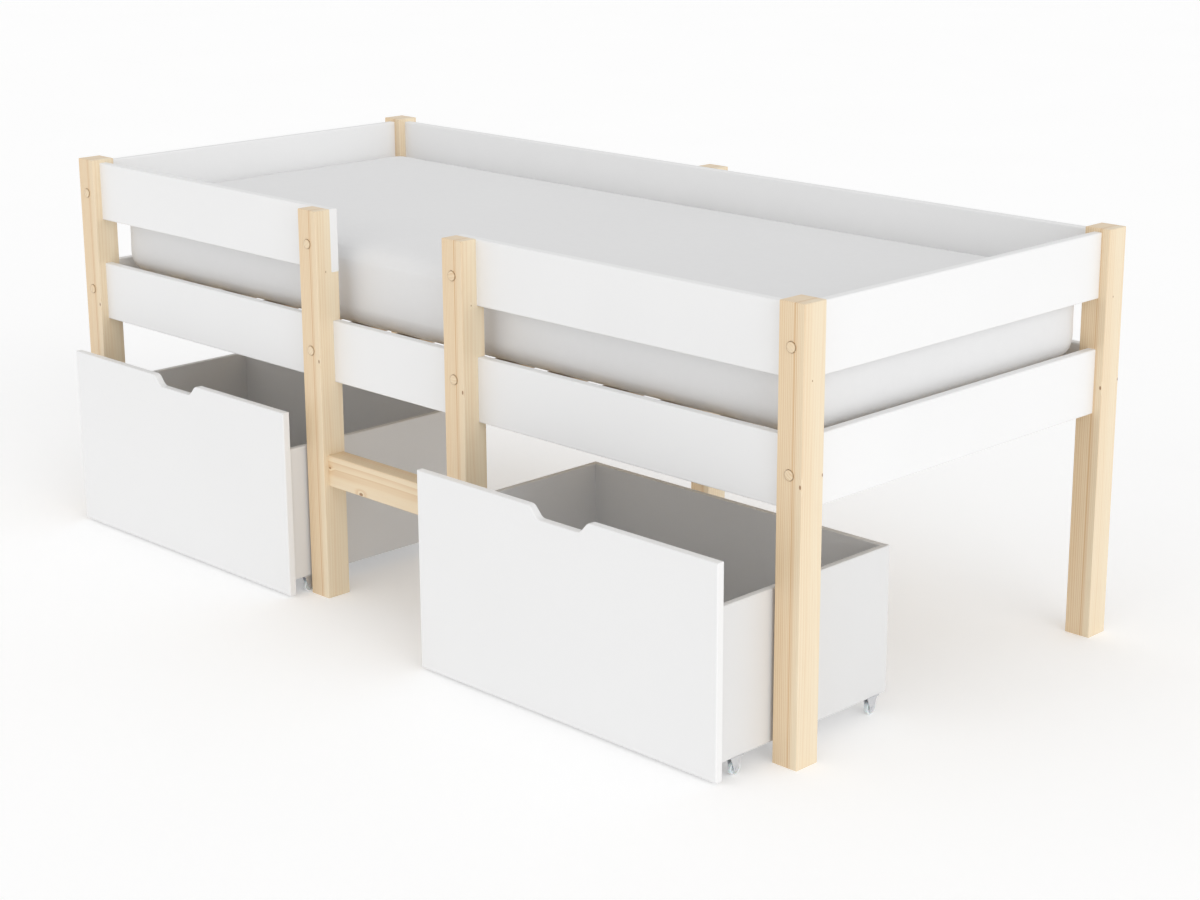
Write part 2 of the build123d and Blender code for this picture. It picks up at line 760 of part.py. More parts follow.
    # Bent steel brackets: a plate under the side board and two cheeks beside the wheel
    with BuildPart() as brackets:
        for x, y in castors_at:
            with BuildSketch(Plane.XY.offset(plate_bottom)):
                with Locations((x, y)):
                    RectangleRounded(bracket_width, bracket_length, bracket_sheet)
            extrude(amount=bracket_sheet)
            for cheek in (-half_gap - bracket_sheet, half_gap):
                with BuildSketch(Plane.YZ.offset(x + cheek)):
                    with Locations((y, axle_z)):
                        Circle(bracket_cheek_radius)
                    with BuildLine():
                        Polyline(
                            (y - bracket_cheek_radius, axle_z),
                            (y + bracket_cheek_radius, axle_z),
                            (y + bracket_cheek_top / 2, plate_bottom),
                            (y - bracket_cheek_top / 2, plate_bottom),
                            close=True,
                        )
                    make_face()
                extrude(amount=bracket_sheet)
        for x, y in castors_at:
            far_side = (x - half_gap - 2 * bracket_sheet, y, axle_z)
            drill(far_side, (1, 0, 0), axle_diameter + hole_clearance, 2 * half_gap + 4 * bracket_sheet)
            for shift in (-bracket_screw_spacing / 2, bracket_screw_spacing / 2):
                start = (x, y + shift, plate_bottom)
                drill(start, (0, 0, 1), bracket_screw_diameter + hole_clearance, bracket_sheet)
    save(brackets.part, f"{name}_castor_brackets")

    # Riveted axle pins
    with BuildPart() as axles:
        for x, y in castors_at:
            outer = half_gap + bracket_sheet
            pin((x - outer, y, axle_z), (1, 0, 0), axle_diameter, 2 * outer)
            for end in (-1, 1):
                pin((x + end * outer, y, axle_z), (end, 0, 0), axle_head_diameter, axle_head_height)
    save(axles.part, f"{name}_castor_axles")

    with BuildPart() as screws:
        for x, y in castors_at:
            for shift in (-bracket_screw_spacing / 2, bracket_screw_spacing / 2):
                seat = (x, y + shift, plate_bottom)
                pin(seat, (0, 0, 1), bracket_screw_diameter, bracket_screw_length)
                pin(seat, (0, 0, -1), bracket_screw_head_diameter, bracket_screw_head_height)
    save(screws.part, f"{name}_castor_screws")

    # Wheels: dished on both sides round a hub, with a rounded tread
    for side, side_word in ((-1, "left"), (1, "right")):
        for y, end_word in zip(wheel_ys, ("front", "back")):
            radius = wheel_diameter / 2
            half = wheel_width / 2
            rim = radius - 2 * wheel_dish
            hub = axle_head_diameter
            with BuildPart() as wheel:
                with BuildSketch(Plane.XY):
                    with BuildLine():
                        Polyline(
                            (-half, 0),
                            (-half, hub),
                            (-half + wheel_dish, hub + wheel_dish / 2),
                            (-half + wheel_dish, rim - wheel_dish / 2),
                            (-half, rim),
                            (-half, radius - wheel_dish),
                            (-half + wheel_dish, radius),
                            (half - wheel_dish, radius),
                            (half, radius - wheel_dish),
                            (half, rim),
                            (half - wheel_dish, rim - wheel_dish / 2),
                            (half - wheel_dish, hub + wheel_dish / 2),
                            (half, hub),
                            (half, 0),
                            close=True,
                        )
                    make_face()
                revolve(axis=Axis.X)
                drill((-wheel_width, 0, 0), (1, 0, 0), axle_diameter + hole_clearance, 2 * wheel_width)
            placed = wheel.part.moved(Location((wheel_xs[side], y, axle_z)))
            save(placed, f"{name}_wheel_{end_word}_{side_word}")


drawer("left", -post_inner_x, left_drawer_out)
drawer("right", middle_post_outer_x, right_drawer_out)
print(f"middle line of the bed at y = {middle_y:.1f}, front faces of the corner posts at {front_y:.1f}")
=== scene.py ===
from math import pi, radians

import bmesh
import bpy
from mathutils import Matrix, Vector


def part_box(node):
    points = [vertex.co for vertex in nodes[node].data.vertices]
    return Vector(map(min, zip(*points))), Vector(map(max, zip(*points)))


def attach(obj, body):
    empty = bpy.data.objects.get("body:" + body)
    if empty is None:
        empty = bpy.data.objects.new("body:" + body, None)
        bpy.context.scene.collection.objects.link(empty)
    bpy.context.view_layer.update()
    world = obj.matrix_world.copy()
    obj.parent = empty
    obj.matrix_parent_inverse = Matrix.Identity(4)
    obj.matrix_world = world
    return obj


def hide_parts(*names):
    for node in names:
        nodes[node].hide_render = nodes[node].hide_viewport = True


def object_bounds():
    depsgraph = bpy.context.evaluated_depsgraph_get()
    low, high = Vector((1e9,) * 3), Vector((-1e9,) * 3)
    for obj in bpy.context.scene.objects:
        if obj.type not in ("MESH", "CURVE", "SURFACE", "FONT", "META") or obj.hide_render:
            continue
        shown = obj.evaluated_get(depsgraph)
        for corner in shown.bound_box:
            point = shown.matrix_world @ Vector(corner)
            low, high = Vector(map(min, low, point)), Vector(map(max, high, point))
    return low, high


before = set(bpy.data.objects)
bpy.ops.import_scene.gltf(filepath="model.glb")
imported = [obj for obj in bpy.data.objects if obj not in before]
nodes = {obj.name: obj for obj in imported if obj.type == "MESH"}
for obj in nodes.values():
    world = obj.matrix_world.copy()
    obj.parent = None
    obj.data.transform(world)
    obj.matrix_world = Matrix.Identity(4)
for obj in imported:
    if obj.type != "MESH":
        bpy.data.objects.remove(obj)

cad_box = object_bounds()

# Camera: eye height above the right front corner, as in the photograph, with the crop of a
# 1200 x 900 picture set by a little shift.
def add_object(name, data):
    """A new object in the scene that shows these data."""
    made = bpy.data.objects.new(name, data)
    bpy.context.scene.collection.objects.link(made)
    return made


camera_data = bpy.data.cameras.new("camera")
camera_data.sensor_fit = "HORIZONTAL"
camera_data.sensor_width = 36
camera_data.lens = 69.33
camera_data.shift_x = -0.0342
camera_data.shift_y = -0.0403
camera_data.clip_end = 200
camera = add_object("camera", camera_data)
camera.location = (3.3426, -3.1384, 1.6076)
camera_pitch = 0.2646
camera_yaw = 0.7720
camera.rotation_euler = (pi / 2 - camera_pitch, 0, camera_yaw)
bpy.context.scene.camera = camera


def put(tree, kind, inputs=None, **settings):
    """Adds a node to a tree, sets it up, and fills or links its inputs."""
    made = tree.nodes.new(kind)
    for setting, value in settings.items():
        setattr(made, setting, value)
    for socket, value in (inputs or {}).items():
        if isinstance(value, bpy.types.NodeSocket):
            tree.links.new(value, made.inputs[socket])
        else:
            made.inputs[socket].default_value = value
    return made


def calc(tree, operation, *values):
    """The result of one sum on numbers or sockets."""
    return put(tree, "ShaderNodeMath", dict(enumerate(values)), operation=operation).outputs[0]


def calc_vector(tree, operation, *values, result="Vector"):
    """The result of one sum on vectors or sockets."""
    made = put(tree, "ShaderNodeVectorMath", dict(enumerate(values)), operation=operation)
    return made.outputs[result]


def noise(tree, place, stretch, detail=2.0, result="Fac"):
    """Noise of about one blotch per metre along each axis, times stretch."""
    scaled = calc_vector(tree, "MULTIPLY", place, stretch)
    made = put(tree, "ShaderNodeTexNoise", {"Vector": scaled, "Scale": 1.0, "Detail": detail})
    return made.outputs[result]


def fade(tree, value, low, high, start=0.0, end=1.0):
    """Turns value smoothly from start to end as it goes from low to high."""
    inputs = {"Value": value, "From Min": low, "From Max": high, "To Min": start, "To Max": end}
    made = put(tree, "ShaderNodeMapRange", inputs, interpolation_type="SMOOTHSTEP")
    return made.outputs["Result"]


def blend_colours(tree, factor, first, second):
    """Mixes two colours by a factor from 0 to 1."""
    made = tree.nodes.new("ShaderNodeMix")
    made.data_type = "RGBA"
    for socket, value in ((0, factor), (6, first), (7, second)):
        if isinstance(value, bpy.types.NodeSocket):
            tree.links.new(value, made.inputs[socket])
        elif socket:
            made.inputs[socket].default_value = (*value, 1)
        else:
            made.inputs[socket].default_value = value
    return made.outputs[2]


def new_finish(name, roughness, **shader_values):
    """A material whose shader has its even values set; gives it with its tree, shader and place."""
    material = bpy.data.materials.new(name)
    material.use_nodes = True
    tree = material.node_tree
    shader = tree.nodes["Principled BSDF"]
    shader.inputs["Roughness"].default_value = roughness
    for socket, value in shader_values.items():
        shader.inputs[socket.replace("_", " ")].default_value = value
    place = put(tree, "ShaderNodeTexCoord").outputs["Object"]
    return material, tree, shader, place


def paint(tree, shader, factor, first, second):
    """Colours the surface with a mix of two colours."""
    tree.links.new(blend_colours(tree, factor, first, second), shader.inputs["Base Color"])


def raise_surface(tree, shader, height, distance, strength):
    """Bumps the surface by a height from 0 to 1, times distance in metres."""
    inputs = {"Height": height, "Distance": distance, "Strength": strength}
    bump = put(tree, "ShaderNodeBump", inputs)
    tree.links.new(bump.outputs["Normal"], shader.inputs["Normal"])


def dress(node, material):
    """Gives a CAD node one material on all its faces."""
    mesh = nodes[node].data
    mesh.materials.clear()
    mesh.materials.append(material)


# Floor and light: a plain pale studio floor that glows a little, as if lit from behind, an even
# pale sky, a large soft light from the right, which makes the right faces the brightest, and a
# weaker one from the front.
floor_half = 40
floor_mesh = bpy.data.meshes.new("floor")
floor_corners = [(-1, -1), (1, -1), (1, 1), (-1, 1)]
floor_mesh.from_pydata([(floor_half * x, floor_half * y, 0) for x, y in floor_corners], [], [(0, 1, 2, 3)])
floor = add_object("floor", floor_mesh)
floor_glow = 0.2
sky_strength = 0.78
floor_finish, tree, shader, place = new_finish("studio floor", 0.9)
patches = noise(tree, place, (1.5, 1.5, 1.5))
paint(tree, shader, patches, (0.87, 0.87, 0.87), (0.89, 0.89, 0.89))
shader.inputs["Emission Color"].default_value = (1, 1, 1, 1)
shader.inputs["Emission Strength"].default_value = floor_glow
floor_mesh.materials.append(floor_finish)

sky = bpy.data.worlds.new("studio sky")
sky.use_nodes = True
sky.node_tree.nodes["Background"].inputs["Color"].default_value = (1, 1, 1, 1)
sky.node_tree.nodes["Background"].inputs["Strength"].default_value = sky_strength
bpy.context.scene.world = sky
bpy.context.scene.view_settings.view_transform = "Standard"


def soft_light(name, strength, turn, spread):
    """A distant light as soft as a large studio panel."""
    data = bpy.data.lights.new(name, "SUN")
    data.energy = strength
    data.angle = spread
    add_object(name, data).rotation_euler = turn


soft_light("right panel", 0.98, (radians(75), 0, radians(76)), radians(50))
soft_light("front panel", 0.30, (radians(78), 0, 0), radians(50))

# Posts: seven square lengths of pine, each glued up from two strips, planed, with eased corners
# and a clear satin lacquer. The grain runs up each post, with small knots half way up.
pale_wood = (0.83, 0.71, 0.52)
late_wood = (0.67, 0.44, 0.23)
honey_wood = (0.79, 0.60, 0.38)
knot_brown = (0.34, 0.19, 0.09)
grain_turns = {"x": (0, radians(-90), 0), "y": (radians(90), 0, 0), "z": (0, 0, 0)}


def pine_finish(name, centre, grain, pith, glue_line=None, knots=(), rings=300, tone=0.0, heart=0.0):
    """Pine whose rings lie round a pith at an offset from the piece's centre, across the grain.

    glue_line is where the second strip starts, across the grain. Each knot is a place and a radius.
    heart is how much darker the heart side, towards the left, is than the sap side.
    """
    material, tree, shader, place = new_finish(name, 0.42, Coat_Weight=0.2, Coat_Roughness=0.3)
    centred = calc_vector(tree, "SUBTRACT", place, centre)
    turned = put(tree, "ShaderNodeMapping", {"Vector": centred, "Rotation": grain_turns[grain]})
    along = turned.outputs["Vector"]
    sides = put(tree, "ShaderNodeSeparateXYZ", {"Vector": along})
    wobble = noise(tree, along, (7, 7, 1.3), result="Color")
    wobble = calc_vector(tree, "SUBTRACT", wobble, (0.5, 0.5, 0.5))
    wobble = calc_vector(tree, "MULTIPLY", wobble, (0.012, 0.012, 0))
    bent = calc_vector(tree, "ADD", along, wobble)
    bent = calc_vector(tree, "SUBTRACT", bent, (*pith, 0))
    flat = calc_vector(tree, "MULTIPLY", bent, (1, 1, 0.015))
    radius = calc_vector(tree, "LENGTH", flat, result="Value")
    knot_shade = 0.0
    for knot_place, knot_radius in knots:
        apart = calc_vector(tree, "SUBTRACT", place, knot_place)
        turned_apart = put(tree, "ShaderNodeMapping", {"Vector": apart, "Rotation": grain_turns[grain]})
        squeezed = calc_vector(tree, "MULTIPLY", turned_apart.outputs["Vector"], (1, 1, 0.55))
        distance = calc_vector(tree, "LENGTH", squeezed, result="Value")
        radius = calc(tree, "ADD", radius, fade(tree, distance, 0, 5 * knot_radius, 1.6 * knot_radius, 0))
        core = fade(tree, distance, 0.7 * knot_radius, 1.25 * knot_radius, 1, 0)
        knot_shade = calc(tree, "MAXIMUM", core, knot_shade)
    ring_count = calc(tree, "MULTIPLY", radius, rings)
    uneven = calc(tree, "MULTIPLY", noise(tree, along, (60, 60, 0.4)), 1.5)
    ring_count = calc(tree, "ADD", ring_count, uneven)
    if glue_line is not None:
        second = calc(tree, "GREATER_THAN", sides.outputs["X"], glue_line)
        ring_count = calc(tree, "ADD", ring_count, calc(tree, "MULTIPLY", second, 7.4))
    ring = calc(tree, "FRACT", ring_count)
    late = calc(tree, "MULTIPLY", fade(tree, ring, 0.25, 0.9), fade(tree, ring, 0.92, 1.0, 1, 0))
    contrast = fade(tree, noise(tree, along, (22, 22, 0.7)), 0.3, 0.75, 0.2, 0.85)
    if heart:
        contrast = calc(tree, "MULTIPLY", contrast, fade(tree, sides.outputs["X"], -0.01, 0.026, 1, 0.4))
    late = calc(tree, "MULTIPLY", late, contrast)
    fibre = noise(tree, along, (900, 900, 14), detail=3)
    broad = fade(tree, noise(tree, along, (26, 26, 0.9)), 0.35, 0.7, tone, tone + 0.35)
    if heart:
        broad = calc(tree, "ADD", broad, fade(tree, sides.outputs["X"], -0.024, 0.028, heart, 0))
    colour = blend_colours(tree, broad, pale_wood, honey_wood)
    colour = blend_colours(tree, late, colour, late_wood)
    colour = blend_colours(tree, fade(tree, fibre, 0.5, 0.8, 0, 0.25), colour, late_wood)
    if glue_line is not None:
        from_line = calc(tree, "ABSOLUTE", calc(tree, "SUBTRACT", sides.outputs["X"], glue_line))
        line = fade(tree, from_line, 0.0004, 0.0021, 0.95, 0)
        colour = blend_colours(tree, line, colour, late_wood)
        from_twin = calc(tree, "ABSOLUTE", calc(tree, "SUBTRACT", sides.outputs["X"], glue_line + 0.0042))
        colour = blend_colours(tree, fade(tree, from_twin, 0.0003, 0.0015, 0.6, 0), colour, late_wood)
    if knots:
        colour = blend_colours(tree, knot_shade, colour, knot_brown)
    tree.links.new(colour, shader.inputs["Base Color"])
    raise_surface(tree, shader, fibre, 0.0001, 0.5)
    return material


usual_knot_height = 0.49
knot_heights = {
    "post_front_left": 0.480,
    "post_middle_left": 0.4935,
    "post_middle_right": 0.5095,
    "post_front_right": 0.496,
    "post_back_right": 0.4985,
}
post_names = [name for name in nodes if name.startswith("post_")]
for index, name in enumerate(sorted(post_names)):
    low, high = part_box(name)
    centre = (low + high) / 2
    corner = Vector((high.x, low.y, 0))
    knots = [
        (corner + Vector((-0.0035, 0, knot_heights.get(name, usual_knot_height))), 0.0021),
        (Vector((high.x, high.y - 0.002, 0.507)), 0.0016),
        (Vector((high.x, centre.y - 0.005, 0.671)), 0.0010),
    ]
    pith = (-0.16 - 0.013 * index, 0.09 + 0.021 * (index % 3))
    finish = pine_finish(f"pine {name}", centre, "z", pith, 0.007, knots, heart=0.55)
    dress(name, finish)

# Step rail between the middle posts: one plain length of the same pine, its grain along it, with
# a knot near its middle and a warm stain by the left post.
low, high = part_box("foot_stretcher")
centre = (low + high) / 2
step_knots = [(Vector((-0.085, low.y, 0.240)), 0.0032), (Vector((-0.181, low.y, 0.2745)), 0.002)]
step_pine = pine_finish("pine step rail", centre, "x", (0.03, 0.11), knots=step_knots, rings=210, tone=0.2)
dress("foot_stretcher", step_pine)

# Rails: ten straight boards with eased edges, sprayed with smooth white satin lacquer, and fixed
# to the posts from behind and from below.
lacquer_white = (0.86, 0.86, 0.86)
lacquer_shade = (0.82, 0.82, 0.82)


def lacquer(name, light, dark, roughness):
    """White lacquer with the faint ripple that a spray gun leaves."""
    material, tree, shader, place = new_finish(name, roughness, Coat_Weight=0.1, Coat_Roughness=0.2)
    drift = noise(tree, place, (3, 3, 3))
    paint(tree, shader, drift, light, dark)
    ripple = noise(tree, place, (420, 420, 420), detail=1)
    raise_surface(tree, shader, ripple, 0.00005, 0.4)
    return material


rail_white = lacquer("white rail lacquer", lacquer_white, lacquer_shade, 0.38)
rail_names = [name for name in nodes if name.startswith(("guard_rail", "side_rail", "end_rail"))]
for name in rail_names:
    dress(name, rail_white)

# Fixings: bright zinc-plated bolts, nuts, cams and screws, and plain beech dowels, nearly all of
# them hidden in the wood.
zinc, tree, shader, place = new_finish("bright zinc", 0.32, Metallic=1.0)
brushed = noise(tree, place, (300, 300, 300), detail=3)
paint(tree, shader, brushed, (0.62, 0.63, 0.66), (0.78, 0.79, 0.82))
raise_surface(tree, shader, brushed, 0.00004, 0.3)
steel_words = ("bolts", "nuts", "cam_", "screws", "axles")
for name in nodes:
    if any(word in name for word in steel_words):
        dress(name, zinc)

beech, tree, shader, place = new_finish("beech", 0.6)
flecks = noise(tree, place, (700, 700, 700), detail=2)
paint(tree, shader, flecks, (0.74, 0.58, 0.40), (0.64, 0.46, 0.30))
raise_surface(tree, shader, flecks, 0.0001, 0.5)
for name in nodes:
    if name.endswith("_dowels"):
        dress(name, beech)

# Cover caps: turned pine discs pressed into the recesses over the bolt heads, with a softly domed
# face and a rounded rim coloured darker, as painted shade of the gap round each cap and partly as its
# darker end grain.
# Most stand a little proud. Each is a disc of unit thickness that is stretched to the solid's, and its rim
# drop is a share of that thickness.
def islands(node):
    """The lowest and highest corner of each separate solid in a CAD node."""
    shape = bmesh.new()
    shape.from_mesh(nodes[node].data)
    bmesh.ops.remove_doubles(shape, verts=shape.verts, dist=1e-6)
    waiting = set(shape.verts)
    found = []
    for first in shape.verts:
        if first not in waiting:
            continue
        waiting.remove(first)
        island = [first]
        for vertex in island:
            for edge in vertex.link_edges:
                other = edge.other_vert(vertex)
                if other in waiting:
                    waiting.remove(other)
                    island.append(other)
        lowest = Vector([min(vertex.co[axis] for vertex in island) for axis in range(3)])
        highest = Vector([max(vertex.co[axis] for vertex in island) for axis in range(3)])
        found.append((lowest, highest))
    shape.free()
    return found


def places_mesh(name, places):
    """Loose points, each with a turn and a size for what is set on it."""
    mesh = bpy.data.meshes.new(name)
    mesh.from_pydata([place[0] for place in places], [], [])
    for index, kept_name in ((1, "turn"), (2, "size")):
        kept = mesh.attributes.new(kept_name, "FLOAT_VECTOR", "POINT")
        kept.data.foreach_set("vector", [value for place in places for value in place[index]])
    return mesh


def new_group(name, sizes):
    """A Geometry Nodes tree with inputs for a mesh, the named sizes and a material."""
    tree = bpy.data.node_groups.new(name, "GeometryNodeTree")
    tree.interface.new_socket("Geometry", in_out="OUTPUT", socket_type="NodeSocketGeometry")
    tree.interface.new_socket("Geometry", in_out="INPUT", socket_type="NodeSocketGeometry")
    for size in sizes:
        tree.interface.new_socket(size, in_out="INPUT", socket_type="NodeSocketFloat")
    tree.interface.new_socket("Material", in_out="INPUT", socket_type="NodeSocketMaterial")
    return tree, tree.nodes.new("NodeGroupInput").outputs


def set_on_places(tree, points, instance):
    """Sets one instance on each point, turned and sized as the point says."""
    turn = put(tree, "GeometryNodeInputNamedAttribute", {"Name": "turn"}, data_type="FLOAT_VECTOR")
    size = put(tree, "GeometryNodeInputNamedAttribute", {"Name": "size"}, data_type="FLOAT_VECTOR")
    inputs = {"Points": points, "Instance": instance, "Rotation": turn.outputs[0], "Scale": size.outputs[0]}
    return put(tree, "GeometryNodeInstanceOnPoints", inputs).outputs[0]


def bake_group(tree, given, geometry, name, start, sizes, material):
    """Ends a tree, runs it once on a start mesh and gives the result as a plain mesh piece."""
    real = put(tree, "GeometryNodeRealizeInstances", {"Geometry": geometry}).outputs[0]
    coloured = put(tree, "GeometryNodeSetMaterial", {"Geometry": real, "Material": given["Material"]})
    put(tree, "NodeGroupOutput", {"Geometry": coloured.outputs[0]})
    source = add_object(f"start of {name}", start)
    modifier = source.modifiers.new("build", "NODES")
    modifier.node_group = tree
    values = {**sizes, "Material": material}
    for item in tree.interface.items_tree:
        if item.in_out == "INPUT" and item.name in values:
            modifier[item.identifier] = values[item.name]
    graph = bpy.context.evaluated_depsgraph_get()
    mesh = bpy.data.meshes.new_from_object(source.evaluated_get(graph), depsgraph=graph)
    mesh.name = name
    source.modifiers.remove(modifier)
    bpy.data.objects.remove(source)
    return add_object(name, mesh)


def rounded_bar(tree, path, width, height, radius):
    """Sweeps a rectangle with rounded corners along a path and closes its ends."""
    outline = put(tree, "GeometryNodeCurvePrimitiveQuadrilateral", {"Width": width, "Height": height})
    inputs = {"Curve": outline.outputs[0], "Radius": radius, "Count": 3}
    outline = put(tree, "GeometryNodeFilletCurve", inputs, mode="POLY").outputs[0]
    inputs = {"Curve": path, "Profile Curve": outline, "Fill Caps": True}
    return put(tree, "GeometryNodeCurveToMesh", inputs).outputs[0]


# Brown for the caps' rims: painted shade of the gap round each cap, partly the darker end grain at its
# edge.
cap_rim_shade_brown = (0.40, 0.27, 0.15)
cap_gap = 0.0004
cap_rim_drop = 0.16
cap_grain = pine_finish("pine caps", (0, 0, 0), "y", (0.4, 0.1), rings=180, tone=0.3)
tree = cap_grain.node_tree
shader = tree.nodes["Principled BSDF"]
turned_colour = shader.inputs["Base Color"].links[0].from_socket
# Darkens each cap towards its rim and sides: painted shade of the gap round the cap, partly darker end
# grain.
cap_outness = put(tree, "ShaderNodeAttribute", attribute_name="outness").outputs["Fac"]
painted_cap_rim_shade = fade(tree, cap_outness, 0.84, 0.97, 0, 0.8)
paint(tree, shader, painted_cap_rim_shade, turned_colour, cap_rim_shade_brown)
bed_middle = (cad_box[0] + cad_box[1]) / 2
cap_places = []
for low, high in islands("cover_caps"):
    size = high - low
    axis = min(range(3), key=lambda number: size[number])
    middle = (low + high) / 2
    outwards = Vector((0, 0, 0))
    outwards[axis] = 1 if middle[axis] > bed_middle[axis] else -1
    cap_places.append((middle, outwards.to_track_quat("Z", "Y").to_euler(), (1, 1, size[axis])))
    cap_radius = (sum(size) - size[axis]) / 4
tree, given = new_group("turned cap", ("Radius", "Rim drop"))
inputs = {"Vertices": 48, "Side Segments": 1, "Fill Segments": 5, "Radius": given["Radius"], "Depth": 1.0}
disc = put(tree, "GeometryNodeMeshCylinder", inputs, fill_type="TRIANGLE_FAN").outputs["Mesh"]
spot = put(tree, "ShaderNodeSeparateXYZ", {"Vector": put(tree, "GeometryNodeInputPosition").outputs[0]})
flat = put(tree, "ShaderNodeCombineXYZ", {"X": spot.outputs["X"], "Y": spot.outputs["Y"]}).outputs[0]
outness = calc(tree, "DIVIDE", calc_vector(tree, "LENGTH", flat, result="Value"), given["Radius"])
drop = calc(tree, "MULTIPLY", calc(tree, "POWER", outness, 4.0), given["Rim drop"])
drop = calc(tree, "MULTIPLY", drop, calc(tree, "GREATER_THAN", spot.outputs["Z"], 0.0))
offset = put(tree, "ShaderNodeCombineXYZ", {"Z": calc(tree, "MULTIPLY", drop, -1.0)}).outputs[0]
inputs = {"Geometry": disc, "Name": "outness", "Value": outness}
disc = put(tree, "GeometryNodeStoreNamedAttribute", inputs, data_type="FLOAT", domain="POINT").outputs[0]
disc = put(tree, "GeometryNodeSetPosition", {"Geometry": disc, "Offset": offset}).outputs[0]
caps = set_on_places(tree, given["Geometry"], disc)
sizes = {"Radius": cap_radius - cap_gap, "Rim drop": cap_rim_drop}
start = places_mesh("cap places", cap_places)
caps = bake_group(tree, given, caps, "turned_caps", start, sizes, cap_grain)
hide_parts("cover_caps")
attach(caps, "bed_frame")

# Slats: planed pine boards with rounded edges across the bed, which rest on two battens and are
# kept evenly apart by two tapes stapled below.
slat_pine = pine_finish("slat pine", (0, 0, 0), "y", (0.9, -0.06), rings=140, tone=0.3)
slat_edge_radius = 0.0025
straight = (0, 0, 0)
full_size = (1, 1, 1)
slat_boxes = islands("slats")
slat_places = [((low + high) / 2, straight, full_size) for low, high in slat_boxes]
slat_size = slat_boxes[0][1] - slat_boxes[0][0]
tree, given = new_group("rounded slat", ("Length", "Width", "Thickness", "Edge radius"))
half = calc(tree, "DIVIDE", given["Length"], 2.0)
start = put(tree, "ShaderNodeCombineXYZ", {"Y": calc(tree, "MULTIPLY", half, -1.0)}).outputs[0]
end = put(tree, "ShaderNodeCombineXYZ", {"Y": half}).outputs[0]
path = put(tree, "GeometryNodeCurvePrimitiveLine", {"Start": start, "End": end}).outputs[0]
path = put(tree, "GeometryNodeSetCurveNormal", {"Curve": path}, mode="Z_UP").outputs[0]
slat = rounded_bar(tree, path, given["Width"], given["Thickness"], given["Edge radius"])
slat_row = set_on_places(tree, given["Geometry"], slat)
sizes = {
    "Length": slat_size.y,
    "Width": slat_size.x,
    "Thickness": slat_size.z,
    "Edge radius": slat_edge_radius,
}
start = places_mesh("slat places", slat_places)
slat_row = bake_group(tree, given, slat_row, "slat_row", start, sizes, slat_pine)
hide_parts("slats")
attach(slat_row, "bed_frame")

# Staples: flat zinc-plated wire, shot through the tapes into the underside of each slat. Only the
# crown shows, sunk in a little.
staple_length = 0.010
staple_wire = 0.0006
staple_sink = 0.0001
staple_places = []
for slat_low, slat_high in slat_boxes:
    for tape_low, tape_high in islands("slat_straps"):
        middle = (slat_low + slat_high) / 2
        tape_y = (tape_low.y + tape_high.y) / 2
        spot = Vector((middle.x, tape_y, tape_low.z - staple_wire / 2 + staple_sink))
        staple_places.append((spot, straight, full_size))
tree, given = new_group("strap staple", ("Length", "Wire"))
crown = put(tree, "ShaderNodeCombineXYZ", {"X": given["Wire"], "Y": given["Length"], "Z": given["Wire"]})
staple = put(tree, "GeometryNodeMeshCube", {"Size": crown.outputs[0]}).outputs["Mesh"]
staples = set_on_places(tree, given["Geometry"], staple)
start = places_mesh("staple places", staple_places)
sizes = {"Length": staple_length, "Wire": staple_wire}
staples = bake_group(tree, given, staples, "strap_staples", start, sizes, zinc)
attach(staples, "bed_frame")

# Battens: two square pine ledges, planed and screwed along the inner faces of the side rails. They
# carry the slats.
batten_pine = pine_finish("batten pine", (0, 0, 0.5), "x", (0.1, 0.2), rings=220, tone=0.3)
dress("slat_batten_front", batten_pine)
dress("slat_batten_back", batten_pine)

# Tapes: two woven polyester bands along the bed below the slats, plain and cut to length. They
# keep the slats evenly apart.
weave_scale = 160.0
tape, tree, shader, place = new_finish("woven tape", 0.85, Sheen_Weight=0.2)
inputs = {"Vector": place, "Scale": weave_scale}
weft = put(tree, "ShaderNodeTexWave", inputs, bands_direction="X")
warp = put(tree, "ShaderNodeTexWave", inputs, bands_direction="Y")
weave = calc(tree, "MULTIPLY", weft.outputs["Fac"], warp.outputs["Fac"])
paint(tree, shader, weave, (0.62, 0.60, 0.55), (0.82, 0.80, 0.75))
raise_surface(tree, shader, weave, 0.0003, 0.6)
dress("slat_straps", tape)

# Mattress: a foam block in a plain close-woven cover, crowned on top with soft broad edges and no
# piping. It rests on the slats between the rails and swells a little against its cover.
mattress_low, mattress_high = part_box("mattress")
mattress_shrink = 0.004
mattress_voxel = 0.012
mattress_swell = 0.006
mattress_frames = 20
cloth_pressure = 4
thread_scale = 95.0


def own_copy(node, name):
    """A merged copy of a CAD node's mesh as a new object."""
    mesh = nodes[node].data.copy()
    mesh.name = name
    mesh.materials.clear()
    shape = bmesh.new()
    shape.from_mesh(mesh)
    bmesh.ops.remove_doubles(shape, verts=shape.verts, dist=1e-6)
    shape.to_mesh(mesh)
    shape.free()
    return add_object(name, mesh)


def apply_modifier(piece, kind, **settings):
    """Adds one modifier to a piece and applies it."""
    modifier = piece.modifiers.new(kind.lower(), kind)
    for setting, value in settings.items():
        setattr(modifier, setting, value)
    with bpy.context.temp_override(object=piece, active_object=piece):
        bpy.ops.object.modifier_apply(modifier=modifier.name)


